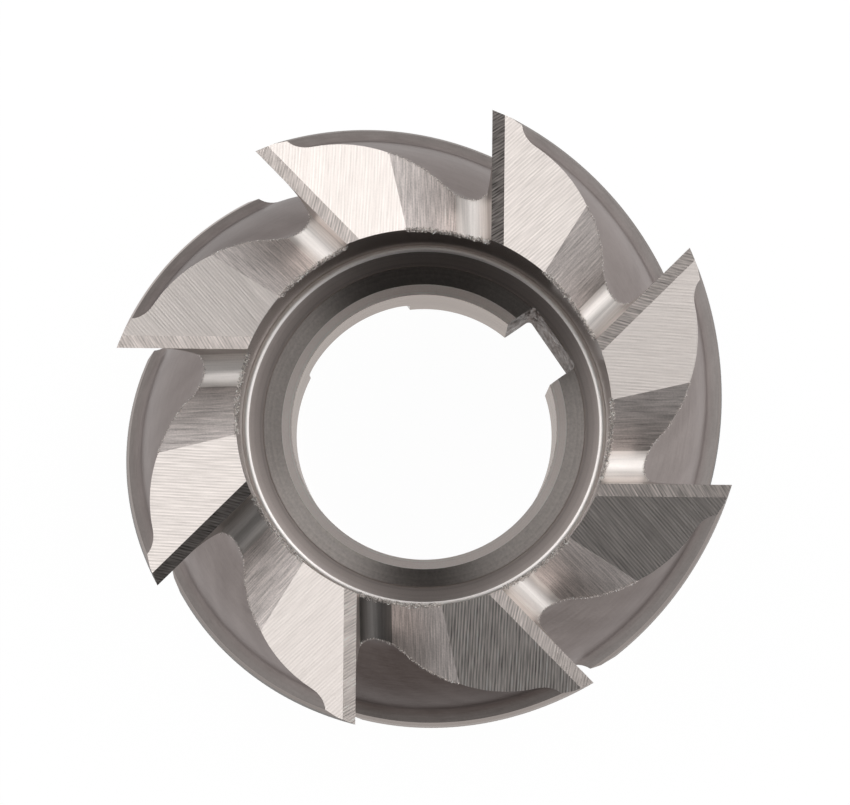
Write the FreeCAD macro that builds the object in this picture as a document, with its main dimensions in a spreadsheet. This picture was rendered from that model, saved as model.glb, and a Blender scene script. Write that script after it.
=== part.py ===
"""Shell end mill with eight right-handed helical flutes, made from one piece of high-speed steel.

Millimetres and degrees. The origin is the centre of the flat back face, +Z runs along the axis to the
cutting end, and +Y points to the keyway of the bore. Seen from the cutting end, the cutter turns
counter-clockwise.
"""
import FreeCAD, Part
import math
import os
import Sketcher

NODE_NAME = "shell_end_mill"

# Driving dimensions: name, value, meaning
SIZES = [
    ("outer_diameter", 50.0, "across the peripheral cutting edges"),
    ("overall_length", 36.0, "from the back face to the end cutting edges"),
    ("teeth", 8, "number of teeth"),
    ("tooth_phase", -2.2, "angle of a tooth corner from +X at the cutting end"),
    ("helix_angle", 28.5, "angle between a peripheral edge and the axis"),
    ("rake_angle", 12.0, "lean of a tooth face from the radius"),
    ("core_diameter", 36.0, "across the bottoms of the flutes"),
    ("root_radius", 3.25, "round bottom of a flute"),
    ("back_radius", 10.5, "convex back of a tooth"),
    ("heel_radius", 2.1, "concave run behind the lands"),
    ("heel_angle", 17.0, "lean of the drop behind the lands from the radius"),
    ("margin_width", 1.4, "primary land along a peripheral edge"),
    ("margin_relief", 9.7, "relief angle of that land"),
    ("land_width", 0.95, "secondary land behind it"),
    ("land_relief", 22.0, "relief angle of the secondary land"),
    ("end_margin_width", 1.0, "primary land along an end cutting edge"),
    ("end_margin_relief", 7.0, "relief angle of that land"),
    ("end_land_relief", 18.0, "relief angle of the end face behind it"),
    ("gash_depth", 4.55, "depth of the sharp corner of an end gash at the recess"),
    ("gash_slope", 16.5, "fall of a gash towards the outside"),
    ("gash_flank", 30.0, "slope of a gash behind a tooth"),
    ("gash_lean", 5.5, "lean of a gash below an end cutting edge"),
    ("gash_radius", 1.7, "round bottom of a gash"),
    ("recess_diameter", 30.0, "recess for the head of the arbor screw"),
    ("recess_depth", 17.5, "from the end cutting edges to the floor of the recess"),
    ("recess_fillet", 0.6, "round corner at the floor of the recess"),
    ("bore_diameter", 22.0, "arbor bore"),
    ("bore_mouth_chamfer", 0.8, "chamfer from the recess floor into the bore"),
    ("bore_back_chamfer", 0.5, "chamfer of the bore at the back face"),
    ("keyway_width", 6.1, "axial keyway of the bore"),
    ("keyway_depth", 2.2, "from the wall of the bore to the keyway floor, along its middle"),
    ("keyway_radius", 0.4, "corners of the keyway floor"),
    ("slot_width", 10.4, "drive slot across the back face"),
    ("slot_depth", 6.3, "depth of the drive slot"),
    ("slot_radius", 1.2, "corners of the slot floor"),
    ("grinding_stock", 0.3, "stock on the turned blank, ground off by the relief cuts"),
    ("overrun", 2.0, "run of a cut past the surface that it leaves"),
]

# Lengths and angles that several profiles share, as expressions of the sheet
TIP_RADIUS = "(Sizes.outer_diameter / 2)"
BLANK_RADIUS = "(Sizes.outer_diameter / 2 + Sizes.grinding_stock)"
CLEAR_RADIUS = "(Sizes.outer_diameter / 2 + Sizes.overrun)"
RECESS_RADIUS = "(Sizes.recess_diameter / 2)"
BORE_RADIUS = "(Sizes.bore_diameter / 2)"
BLANK_TOP = "(Sizes.overall_length + Sizes.grinding_stock)"
FLOOR_HEIGHT = "(Sizes.overall_length - Sizes.recess_depth)"
TOOTH_PITCH = "(360 / Sizes.teeth)"
TWIST = "(tan(Sizes.helix_angle) / (Sizes.outer_diameter / 2) * 180 / pi)"
FACE_OFFSET = "(Sizes.outer_diameter / 2 * sin(Sizes.rake_angle))"
EDGE_TURN = "(Sizes.tooth_phase + Sizes.rake_angle)"
LAND_RUN_ON = "(2 * Sizes.grinding_stock)"

START, END, CENTRE = range(1, 4)
Y_AXIS = FreeCAD.Vector(0, 1, 0)
Z_AXIS = FreeCAD.Vector(0, 0, 1)


def fill_sheet(doc):
    """Write the driving dimensions into the document's sheet, one aliased row each."""
    sheet = doc.addObject("Spreadsheet::Sheet", "Sizes")
    for row, (name, value, meaning) in enumerate(SIZES, start=1):
        sheet.set("A%d" % row, name)
        sheet.set("B%d" % row, str(value))
        sheet.set("C%d" % row, meaning)
        sheet.setAlias("B%d" % row, name)
    doc.recompute()


def origin_item(body, role):
    """Return a plane or an axis of the body's own origin."""
    return next(item for item in body.Origin.OriginFeatures if item.Role == role)


def direction(degrees):
    """Return the unit vector of a sketch that points at an angle."""
    turn = math.radians(degrees)
    return FreeCAD.Vector(math.cos(turn), math.sin(turn), 0)


def bearing(start, end):
    """Return the angle, in degrees, of the way from one point of a sketch to another."""
    step = end - start
    return math.degrees(math.atan2(step.y, step.x))


def turned(along, up, degrees):
    """Turn a place, given as two expressions, clockwise about the sketch's origin."""
    new_along = "(%s) * cos(%s) + (%s) * sin(%s)" % (along, degrees, up, degrees)
    new_up = "(%s) * cos(%s) - (%s) * sin(%s)" % (up, degrees, along, degrees)
    return new_along, new_up


class Profile:
    """A closed sketch on a plane of the body's origin, whose constraints are bound to the sheet."""

    def __init__(self, body, name, plane_role):
        self.sketch = body.newObject("Sketcher::SketchObject", name)
        self.sketch.AttachmentSupport = [(origin_item(body, plane_role), "")]
        self.sketch.MapMode = "FlatFace"

    def value(self, expression):
        """Work out an expression of the sheet."""
        return float(self.sketch.evalExpression(expression))

    def spot(self, place):
        """Work out a place that is given as two expressions, along and up."""
        return FreeCAD.Vector(self.value(place[0]), self.value(place[1]), 0)

    def turn(self, axis, angle):
        """Turn the sketch about one of its axes, by an expression."""
        turning = FreeCAD.Rotation(axis, self.value(angle))
        self.sketch.AttachmentOffset = FreeCAD.Placement(FreeCAD.Vector(0, 0, 0), turning)
        self.sketch.setExpression("AttachmentOffset.Rotation.Angle", angle)

    def line(self, start, end):
        """Add a straight edge."""
        return self.sketch.addGeometry(Part.LineSegment(start, end), False)

    def arc(self, centre, radius, first, last):
        """Add an arc, counter-clockwise from one angle to another."""
        span = (last - first) % 360
        circle = Part.Circle(centre, Z_AXIS, radius)
        arc = Part.ArcOfCircle(circle, math.radians(first), math.radians(first + span))
        return self.sketch.addGeometry(arc, False)

    def tie(self, kind, *items):
        """Add a constraint that has no value."""
        self.sketch.addConstraint(Sketcher.Constraint(kind, *items))

    def bind(self, kind, *items, name, to):
        """Add a constraint and bind its value to an expression."""
        index = self.sketch.addConstraint(Sketcher.Constraint(kind, *items, self.value(to)))
        self.sketch.renameConstraint(index, name)
        self.sketch.setExpression("Constraints." + name, to)

    def pin(self, item, end, name, place):
        """Hold a point at a place that is given as two expressions, along and up."""
        self.bind("DistanceX", -1, 1, item, end, name=name + "_along", to=place[0])
        self.bind("DistanceY", -1, 1, item, end, name=name + "_up", to=place[1])

    def outline(self, corners):
        """Draw straight edges through named corners, and round each corner that has a radius."""
        names = list(corners)
        places = [corners[name][:2] for name in names]
        radii = [corners[name][2] if len(corners[name]) > 2 else None for name in names]
        spots = [self.spot(place) for place in places]
        count = len(names)
        marks = []
        for name, place, spot in zip(names, places, spots):
            marks.append(self.sketch.addGeometry(Part.Point(spot), True))
            self.pin(marks[-1], START, name, place)

        def cut_back(i, neighbour):
            """Return where the edge towards a neighbour leaves the rounding of a corner."""
            if not radii[i]:
                return spots[i]
            before = (spots[i - 1] - spots[i]).normalize()
            after = (spots[(i + 1) % count] - spots[i]).normalize()
            half = math.acos(before.dot(after)) / 2
            reach = self.value(radii[i]) / math.tan(half)
            return spots[i] + (spots[neighbour] - spots[i]).normalize() * reach

        edges = []
        for i in range(count):
            following = (i + 1) % count
            edges.append(self.line(cut_back(i, following), cut_back(following, i)))
        for i in range(count):
            ahead, behind = edges[i], edges[i - 1]
            if not radii[i]:
                self.tie("Coincident", ahead, START, marks[i], START)
                self.tie("Coincident", behind, END, marks[i], START)
                continue
            self.tie("PointOnObject", marks[i], START, ahead)
            self.tie("PointOnObject", marks[i], START, behind)
            leave, arrive = cut_back(i, (i + 1) % count), cut_back(i, i - 1)
            middle = (leave + arrive) * 0.5
            reach = self.value(radii[i]) ** 2 + (arrive - spots[i]).Length ** 2
            centre = spots[i] + (middle - spots[i]).normalize() * math.sqrt(reach)
            left_turn = (spots[i] - spots[i - 1]).cross(spots[(i + 1) % count] - spots[i]).z > 0
            first, last = (arrive, leave) if left_turn else (leave, arrive)
            corner = self.arc(centre, self.value(radii[i]), bearing(centre, first), bearing(centre, last))
            self.bind("Radius", corner, name=names[i] + "_radius", to=radii[i])
            self.tie("Tangent", behind, END, corner, START if left_turn else END)
            self.tie("Tangent", ahead, START, corner, END if left_turn else START)


def turned_blank(body):
    """Turn the outside with its grinding stock, the recess, the seat of the screw head and the bore."""
    section = Profile(body, "blank_section", "XZ_Plane")
    section.outline({
        "back_bore": (BORE_RADIUS + " + Sizes.bore_back_chamfer", "0"),
        "back_rim": (BLANK_RADIUS, "0"),
        "front_rim": (BLANK_RADIUS, BLANK_TOP),
        "recess_mouth": (RECESS_RADIUS, BLANK_TOP),
        "recess_floor": (RECESS_RADIUS, FLOOR_HEIGHT, "Sizes.recess_fillet"),
        "seat_edge": (BORE_RADIUS + " + Sizes.bore_mouth_chamfer", FLOOR_HEIGHT),
        "bore_mouth": (BORE_RADIUS, FLOOR_HEIGHT + " - Sizes.bore_mouth_chamfer"),
        "bore_end": (BORE_RADIUS, "Sizes.bore_back_chamfer"),
    })
    blank = body.newObject("PartDesign::Revolution", "turned_blank")
    blank.Profile = section.sketch
    blank.ReferenceAxis = (origin_item(body, "Z_Axis"), [""])
    blank.Angle = 360
    return blank


def bore_keyway(body):
    """Broach the keyway along the whole bore."""
    section = Profile(body, "keyway_section", "XY_Plane")
    half_width = "Sizes.keyway_width / 2"
    floor = BORE_RADIUS + " + Sizes.keyway_depth"
    section.outline({
        "right_inner": (half_width, "0"),
        "right_floor": (half_width, floor, "Sizes.keyway_radius"),
        "left_floor": ("-" + half_width, floor, "Sizes.keyway_radius"),
        "left_inner": ("-" + half_width, "0"),
    })
    keyway = body.newObject("PartDesign::Pocket", "bore_keyway")
    keyway.Profile = section.sketch
    keyway.Type = "ThroughAll"
    keyway.Reversed = True
    return keyway


def drive_slot(body):
    """Mill the drive slot across the whole back face, square to the keyway."""
    section = Profile(body, "slot_section", "YZ_Plane")
    half_width = "Sizes.slot_width / 2"
    section.outline({
        "left_mouth": ("-" + half_width, "-Sizes.overrun"),
        "right_mouth": (half_width, "-Sizes.overrun"),
        "right_floor": (half_width, "Sizes.slot_depth", "Sizes.slot_radius"),
        "left_floor": ("-" + half_width, "Sizes.slot_depth", "Sizes.slot_radius"),
    })
    slot = body.newObject("PartDesign::Pocket", "drive_slot")
    slot.Profile = section.sketch
    slot.Type = "ThroughAll"
    slot.Midplane = True
    return slot


def flute_section(body):
    """Draw one flute square to the axis, from the lands of a tooth to the face of the next one.

    The corner of the tooth whose back is cut lies on the sketch's own x axis. The next tooth is one
    pitch clockwise, and its straight face passes the axis at the face offset.
    """
    section = Profile(body, "flute_section", "XY_Plane")
    start_turn = "Sizes.tooth_phase - (Sizes.overall_length + Sizes.overrun) * " + TWIST
    section.turn(Z_AXIS, start_turn)
    section.sketch.setExpression("AttachmentOffset.Base.z", "-Sizes.overrun")

    margin_end = (
        TIP_RADIUS + " - Sizes.margin_width * sin(Sizes.margin_relief)",
        "-Sizes.margin_width * cos(Sizes.margin_relief)",
    )
    heel = (
        margin_end[0] + " - Sizes.land_width * sin(Sizes.land_relief)",
        margin_end[1] + " - Sizes.land_width * cos(Sizes.land_relief)",
    )
    run_on = (
        TIP_RADIUS + " + %s * sin(Sizes.margin_relief)" % LAND_RUN_ON,
        LAND_RUN_ON + " * cos(Sizes.margin_relief)",
    )
    face_turn = "(%s - Sizes.rake_angle)" % TOOTH_PITCH
    face_out = turned("sqrt(%s^2 - %s^2)" % (CLEAR_RADIUS, FACE_OFFSET), "-" + FACE_OFFSET, face_turn)
    root_up = "(Sizes.root_radius - %s)" % FACE_OFFSET
    root_along = "sqrt((Sizes.core_diameter / 2 + Sizes.root_radius)^2 - %s^2)" % root_up
    root = turned(root_along, root_up, face_turn)
    heel_centre = (
        heel[0] + " + Sizes.heel_radius * sin(Sizes.heel_angle)",
        heel[1] + " - Sizes.heel_radius * cos(Sizes.heel_angle)",
    )

    margin_spot, heel_spot, run_on_spot = section.spot(margin_end), section.spot(heel), section.spot(run_on)
    root_spot, hollow_spot, out_spot = section.spot(root), section.spot(heel_centre), section.spot(face_out)
    root_radius = section.value("Sizes.root_radius")
    heel_radius = section.value("Sizes.heel_radius")
    back_radius = section.value("Sizes.back_radius")
    back_spot = apex(hollow_spot, heel_radius + back_radius, root_spot, root_radius + back_radius)
    face_foot = root_spot + root_radius * direction(-90 - section.value(face_turn))
    rim_radius = section.value(CLEAR_RADIUS)
    rim_end = FreeCAD.Vector(math.sqrt(rim_radius ** 2 - run_on_spot.y ** 2), run_on_spot.y, 0)

    margin = section.line(run_on_spot, margin_spot)
    land = section.line(margin_spot, heel_spot)
    heel_bearing = bearing(hollow_spot, heel_spot)
    hollow = section.arc(hollow_spot, heel_radius, heel_bearing, bearing(hollow_spot, back_spot))
    back = section.arc(back_spot, back_radius, bearing(back_spot, root_spot), bearing(back_spot, hollow_spot))
    bottom = section.arc(root_spot, root_radius, bearing(root_spot, back_spot), bearing(root_spot, face_foot))
    face = section.line(face_foot, out_spot)
    axis_spot = FreeCAD.Vector(0, 0, 0)
    rim = section.arc(axis_spot, rim_radius, bearing(axis_spot, out_spot), bearing(axis_spot, rim_end))
    close = section.line(rim_end, run_on_spot)

    section.pin(margin, START, "run_on", run_on)
    section.pin(margin, END, "margin_end", margin_end)
    section.tie("Coincident", land, START, margin, END)
    section.pin(land, END, "heel", heel)
    section.tie("Coincident", hollow, START, land, END)
    section.pin(hollow, CENTRE, "heel_centre", heel_centre)
    section.tie("Tangent", hollow, END, back, END)
    section.bind("Radius", back, name="tooth_back", to="Sizes.back_radius")
    section.tie("Tangent", back, START, bottom, START)
    section.pin(bottom, CENTRE, "root_centre", root)
    section.bind("Radius", bottom, name="flute_bottom", to="Sizes.root_radius")
    section.tie("Tangent", bottom, END, face, START)
    section.pin(face, END, "face_out", face_out)
    section.tie("Coincident", rim, CENTRE, -1, START)
    section.tie("Coincident", rim, START, face, END)
    section.tie("Coincident", close, START, rim, END)
    section.tie("Coincident", close, END, margin, START)
    section.tie("Horizontal", close)
    return section.sketch


def apex(first, first_reach, second, second_reach):
    """Return the corner, to the right of the way from first to second, of a triangle of given sides."""
    base = second - first
    along = (first_reach ** 2 - second_reach ** 2 + base.Length ** 2) / (2 * base.Length)
    away = math.sqrt(first_reach ** 2 - along ** 2)
    unit = base / base.Length
    right = FreeCAD.Vector(unit.y, -unit.x, 0)
    return first + unit * along + right * away


def helical_flute(body):
    """Mill one flute along its helix, together with the lands of the tooth behind it."""
    sketch = flute_section(body)
    flute = body.newObject("PartDesign::SubtractiveHelix", "helical_flute")
    flute.Profile = sketch
    flute.ReferenceAxis = (sketch, ["N_Axis"])
    flute.Mode = "pitch-height-angle"
    flute.setExpression("Pitch", "pi * Sizes.outer_diameter / tan(Sizes.helix_angle)")
    flute.setExpression("Height", "Sizes.overall_length + Sizes.grinding_stock + 2 * Sizes.overrun")
    flute.LeftHanded = False
    flute.Reversed = False
    return flute


def end_relief(body):
    """Grind the two relief lands of one end cutting edge.

    The sketch is square to the edge, which passes the axis at the face offset. The second land runs
    on until just before the inner corner of the next tooth.
    """
    section = Profile(body, "end_relief_section", "YZ_Plane")
    section.turn(Y_AXIS, EDGE_TURN)
    edge = "-" + FACE_OFFSET
    margin_drop = "Sizes.end_margin_width * tan(Sizes.end_margin_relief)"
    inner_turn = "(asin(%s / %s) + 1 deg * %s)" % (FACE_OFFSET, RECESS_RADIUS, TOOTH_PITCH)
    reach = "(%s * sin(%s) - %s - Sizes.end_margin_width / 2)" % (RECESS_RADIUS, inner_turn, FACE_OFFSET)
    land_drop = "(%s - Sizes.end_margin_width) * tan(Sizes.end_land_relief)" % reach
    top = "Sizes.overall_length + Sizes.overrun"
    section.outline({
        "run_on": (
            "%s + %s" % (edge, LAND_RUN_ON),
            "Sizes.overall_length + %s * tan(Sizes.end_margin_relief)" % LAND_RUN_ON,
        ),
        "top_front": ("%s + %s" % (edge, LAND_RUN_ON), top),
        "top_back": ("%s - %s" % (edge, reach), top),
        "land_end": (
            "%s - %s" % (edge, reach),
            "Sizes.overall_length - %s - %s" % (margin_drop, land_drop),
        ),
        "margin_end": (
            edge + " - Sizes.end_margin_width",
            "Sizes.overall_length - " + margin_drop,
        ),
    })
    relief = body.newObject("PartDesign::Pocket", "end_relief")
    relief.Profile = section.sketch
    relief.Type = "Length"
    relief.setExpression("Length", CLEAR_RADIUS)
    relief.Reversed = True
    return relief


def end_gash(body):
    """Mill the gash in front of one end cutting edge, open to the recess and to the flute.

    Its face holds the cutting edge, and its bottom falls towards the outside. The sketch is square to
    the edge and passes through the axis, so its corner lies above the depth at the recess.
    """
    section = Profile(body, "gash_section", "YZ_Plane")
    section.turn(Y_AXIS, EDGE_TURN)
    edge = "-" + FACE_OFFSET
    recess_reach = "sqrt(%s^2 - %s^2)" % (RECESS_RADIUS, FACE_OFFSET)
    depth = "(Sizes.gash_depth - %s * tan(Sizes.gash_slope))" % recess_reach
    rise = "(%s * tan(Sizes.gash_slope) + Sizes.overrun)" % CLEAR_RADIUS
    corner_along = "%s + %s * tan(Sizes.gash_lean)" % (edge, depth)
    section.outline({
        "corner": (corner_along, "Sizes.overall_length - " + depth, "Sizes.gash_radius"),
        "flank_top": (
            "%s + (%s + %s) / tan(Sizes.gash_flank)" % (corner_along, depth, rise),
            "Sizes.overall_length + " + rise,
        ),
        "face_top": (
            "%s - %s * tan(Sizes.gash_lean)" % (edge, rise),
            "Sizes.overall_length + " + rise,
        ),
    })
    gash = body.newObject("PartDesign::Pocket", "end_gash")
    gash.Profile = section.sketch
    gash.Type = "Length"
    gash.setExpression("Length", CLEAR_RADIUS)
    gash.AlongSketchNormal = True
    gash.UseCustomVector = True
    fall = "tan(Sizes.gash_slope)"
    drift = "(%s * tan(Sizes.gash_lean))" % fall
    gash.setExpression("Direction.x", "cos(%s) - %s * sin(%s)" % (EDGE_TURN, drift, EDGE_TURN))
    gash.setExpression("Direction.y", "sin(%s) + %s * cos(%s)" % (EDGE_TURN, drift, EDGE_TURN))
    gash.setExpression("Direction.z", "-" + fall)
    return gash


def repeated_teeth(body, cuts):
    """Repeat the relief, the gash and the flute around the axis."""
    pattern = body.newObject("PartDesign::PolarPattern", "repeated_teeth")
    pattern.Originals = cuts
    pattern.Axis = (origin_item(body, "Z_Axis"), [""])
    pattern.Angle = 360
    pattern.setExpression("Occurrences", "Sizes.teeth")
    body.Tip = pattern
    return pattern


def build_cutter(doc):
    """Build the cutter as one body, with the end teeth before the flutes, and check that each cut cuts."""
    body = doc.addObject("PartDesign::Body", NODE_NAME)
    body.Label = NODE_NAME
    turned_blank(body)
    doc.recompute()
    volume = body.Shape.Volume
    cuts = []
    for make in (bore_keyway, drive_slot, end_relief, end_gash, helical_flute):
        cuts.append(make(body))
        doc.recompute()
        print("%s takes %.1f mm3" % (cuts[-1].Name, volume - body.Shape.Volume))
        if not 0 < body.Shape.Volume < volume - 1:
            raise ValueError(cuts[-1].Name + " cuts nothing")
        volume = body.Shape.Volume
    repeated_teeth(body, cuts[2:])
    doc.recompute()
    print("%s leaves %.1f mm3" % (body.Tip.Name, body.Shape.Volume))
    return body


def check_document(doc, body):
    """Stop if an object has failed, or if the cutter isn't one valid solid."""
    failed = [item.Name for item in doc.Objects if {"Invalid", "Error"} & set(item.State)]
    if failed:
        raise ValueError("failed objects: " + ", ".join(failed))
    if body.Shape.isNull() or not body.Shape.isValid() or len(body.Shape.Solids) != 1:
        raise ValueError("the cutter isn't one valid solid")


def main():
    """Build the cutter, check it and write its file."""
    os.makedirs("parts", exist_ok=True)
    doc = FreeCAD.newDocument("ShellEndMill")
    fill_sheet(doc)
    body = build_cutter(doc)
    check_document(doc, body)
    body.Shape.exportStep(os.path.join("parts", body.Label + ".step"))


main()
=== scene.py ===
"""Looks of the shell end mill: the ground, milled and turned surfaces of one steel cutter.

Lengths are in metres and angles in radians, unless a class says otherwise. The cutter stands on its back
face, with the cutting end up. It is cut here the way it is made: a turned blank, from which the bore's
keyway, the drive slot, the relief of the end teeth, their gashes and the flutes are taken. Each cut leaves
its own surface, and each surface has its own finish.
"""
import logging
import math
from dataclasses import dataclass, field
from enum import IntEnum

import bmesh
import bpy
import numpy as np
from mathutils import Matrix, Vector


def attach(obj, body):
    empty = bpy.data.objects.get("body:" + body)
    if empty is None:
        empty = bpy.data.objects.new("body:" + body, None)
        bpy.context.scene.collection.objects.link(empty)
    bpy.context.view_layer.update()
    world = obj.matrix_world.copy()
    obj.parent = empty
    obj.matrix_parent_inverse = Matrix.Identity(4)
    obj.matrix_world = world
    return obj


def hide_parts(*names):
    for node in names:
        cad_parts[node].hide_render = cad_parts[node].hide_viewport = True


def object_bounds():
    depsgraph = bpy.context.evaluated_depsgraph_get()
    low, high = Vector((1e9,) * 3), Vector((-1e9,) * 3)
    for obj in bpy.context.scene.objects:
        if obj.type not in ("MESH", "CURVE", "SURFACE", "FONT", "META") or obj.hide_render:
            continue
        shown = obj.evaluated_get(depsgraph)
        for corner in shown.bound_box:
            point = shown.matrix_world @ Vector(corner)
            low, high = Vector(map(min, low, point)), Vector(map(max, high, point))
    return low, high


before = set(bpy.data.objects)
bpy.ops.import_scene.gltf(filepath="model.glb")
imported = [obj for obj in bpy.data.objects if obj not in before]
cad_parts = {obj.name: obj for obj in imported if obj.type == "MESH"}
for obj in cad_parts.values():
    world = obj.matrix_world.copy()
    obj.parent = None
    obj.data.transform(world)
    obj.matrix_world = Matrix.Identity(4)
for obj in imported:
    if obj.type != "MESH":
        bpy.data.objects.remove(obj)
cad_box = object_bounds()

MM = 0.001
TINY = 1e-9
NODE = "shell_end_mill"
LOG = logging.getLogger(NODE)
Mesh = bpy.types.Mesh
Object = bpy.types.Object
Socket = bpy.types.NodeSocket
Point = tuple[float, float] | np.ndarray
Triple = tuple[float, float, float]


class Surface(IntEnum):
    """What made a face of the cutter."""

    BACK_FACE = 0
    BLANK = 1
    RECESS_WALL = 2
    RECESS_FILLET = 3
    RECESS_FLOOR = 4
    SCREW_SEAT = 5
    BORE_CHAMFER = 6
    BORE = 7
    KEYWAY = 8
    DRIVE_SLOT = 9
    MARGIN = 10
    SECOND_LAND = 11
    FLUTE = 12
    TOOTH_FACE = 13
    END_MARGIN = 14
    END_FACET = 15
    GASH_FLANK = 16
    GASH_FILLET = 17
    GASH_FACE = 18


@dataclass(frozen=True)
class CutterSizes:
    """Sizes of the cutter. They are those of the CAD part."""

    outer_radius: float = 25.0 * MM
    length: float = 36.0 * MM
    teeth: int = 8
    tooth_phase: float = math.radians(-2.2)
    helix: float = math.radians(28.5)
    rake: float = math.radians(12.0)
    core_radius: float = 18.0 * MM
    root_radius: float = 3.25 * MM
    back_radius: float = 10.5 * MM
    heel_radius: float = 2.1 * MM
    heel_angle: float = math.radians(17.0)
    margin_width: float = 1.4 * MM
    margin_relief: float = math.radians(9.7)
    land_width: float = 0.95 * MM
    land_relief: float = math.radians(22.0)
    end_margin_width: float = 1.0 * MM
    end_margin_relief: float = math.radians(7.0)
    end_land_relief: float = math.radians(18.0)
    gash_depth: float = 4.55 * MM
    gash_slope: float = math.radians(16.5)
    gash_flank: float = math.radians(30.0)
    gash_lean: float = math.radians(5.5)
    gash_radius: float = 1.7 * MM
    recess_radius: float = 15.0 * MM
    recess_depth: float = 17.5 * MM
    recess_fillet: float = 0.6 * MM
    ring_slope: float = math.radians(10.0)
    seat_radius: float = 13.27 * MM
    seat_groove: float = 0.1 * MM
    bore_radius: float = 11.0 * MM
    mouth_chamfer: float = 0.8 * MM
    back_chamfer: float = 0.5 * MM
    keyway_width: float = 6.1 * MM
    keyway_depth: float = 2.2 * MM
    keyway_corner: float = 0.4 * MM
    slot_width: float = 10.4 * MM
    slot_depth: float = 6.3 * MM
    slot_corner: float = 1.2 * MM
    stock: float = 0.3 * MM
    overrun: float = 2.0 * MM

    @property
    def pitch(self) -> float:
        """Angle from one tooth to the next."""
        return 2 * math.pi / self.teeth

    @property
    def twist(self) -> float:
        """Turn of the flutes for each metre along the axis."""
        return math.tan(self.helix) / self.outer_radius

    @property
    def face_offset(self) -> float:
        """Distance at which a cutting edge passes the axis."""
        return self.outer_radius * math.sin(self.rake)

    @property
    def edge_turn(self) -> float:
        """Direction of the first end cutting edge."""
        return self.tooth_phase + self.rake

    @property
    def clear_radius(self) -> float:
        """Radius that every cut runs out to."""
        return self.outer_radius + self.overrun

    @property
    def run_on(self) -> float:
        """Length by which a land's cut starts before its edge."""
        return 2 * self.stock


def linked(name: str, data: bpy.types.ID) -> Object:
    """Return a new object that shows the data in the scene."""
    made = bpy.data.objects.new(name, data)
    bpy.context.scene.collection.objects.link(made)
    return made


def store(mesh: Mesh, name: str, kind: str, domain: str, values: list | np.ndarray) -> None:
    """Give a mesh an attribute with a value for each of its elements."""
    key = "vector" if kind == "FLOAT_VECTOR" else "value"
    mesh.attributes.new(name, kind, domain).data.foreach_set(key, values)


def read(items: bpy.types.bpy_prop_collection, key: str, width: int = 1, kind: type = float) -> np.ndarray:
    """Return one property of all items as an array, with a row for each where it is a vector."""
    values = np.zeros(len(items) * width, kind)
    items.foreach_get(key, values)
    return values.reshape(-1, width) if width > 1 else values


def turned(point: np.ndarray, angle: float) -> np.ndarray:
    """Return a point of a plane, turned clockwise about the origin."""
    c, s = math.cos(angle), math.sin(angle)
    return np.array([point[0] * c + point[1] * s, point[1] * c - point[0] * s])


def bearing(start: np.ndarray, end: np.ndarray) -> float:
    """Return the angle of the way from one point of a plane to another."""
    return math.atan2(end[1] - start[1], end[0] - start[0])


def unit(vector: np.ndarray) -> np.ndarray:
    """Return a vector at a length of 1."""
    return vector / np.linalg.norm(vector)


class Outline:
    """A closed line in a plane. Each of its edges knows the surface that it sweeps."""

    def __init__(self, start: Point) -> None:
        """Start the line at a point."""
        self.points: list[np.ndarray] = [np.array(start, float)]
        self.surfaces: list[Surface] = []

    def line(self, end: Point, surface: Surface, pieces: int = 1) -> None:
        """Go straight on to a point.

        Args:
            end: Where the edge ends.
            surface: What it sweeps.
            pieces: Number of equal pieces.
        """
        start = self.points[-1]
        for step in range(1, pieces + 1):
            self.points.append(start + (np.array(end, float) - start) * step / pieces)
            self.surfaces.append(surface)

    def arc(self, centre: np.ndarray, sweep: float, surface: Surface, pieces: int) -> None:
        """Go on along an arc about a centre.

        Args:
            centre: Centre of the arc.
            sweep: Turn of the arc, counter-clockwise if positive.
            surface: What it sweeps.
            pieces: Number of equal pieces.
        """
        first = self.points[-1] - np.array(centre, float)
        for step in range(1, pieces + 1):
            self.points.append(np.array(centre, float) + turned(first, -sweep * step / pieces))
            self.surfaces.append(surface)

    def close(self, surface: Surface) -> None:
        """Go straight back to the start."""
        self.surfaces.append(surface)

    def rounded(self, corner: tuple[float, float], after: tuple[float, float], radius: float,
                before: Surface, surface: Surface, pieces: int) -> None:
        """Go to a corner and round it.

        Args:
            corner: The sharp corner.
            after: A point that the line goes to next.
            radius: Radius of the rounding.
            before: What the edge before the corner sweeps.
            surface: What the rounding sweeps.
            pieces: Number of pieces of the rounding.
        """
        tip = np.array(corner, float)
        into, out = unit(self.points[-1] - tip), unit(np.array(after, float) - tip)
        half = math.acos(float(np.clip(into @ out, -1, 1))) / 2
        middle = unit(into + out)
        turn = math.pi - 2 * half
        left = into[0] * out[1] - into[1] * out[0] < 0
        self.line(tip + into * radius / math.tan(half), before)
        self.arc(tip + middle * radius / math.sin(half), turn if left else -turn, surface, pieces)


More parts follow.
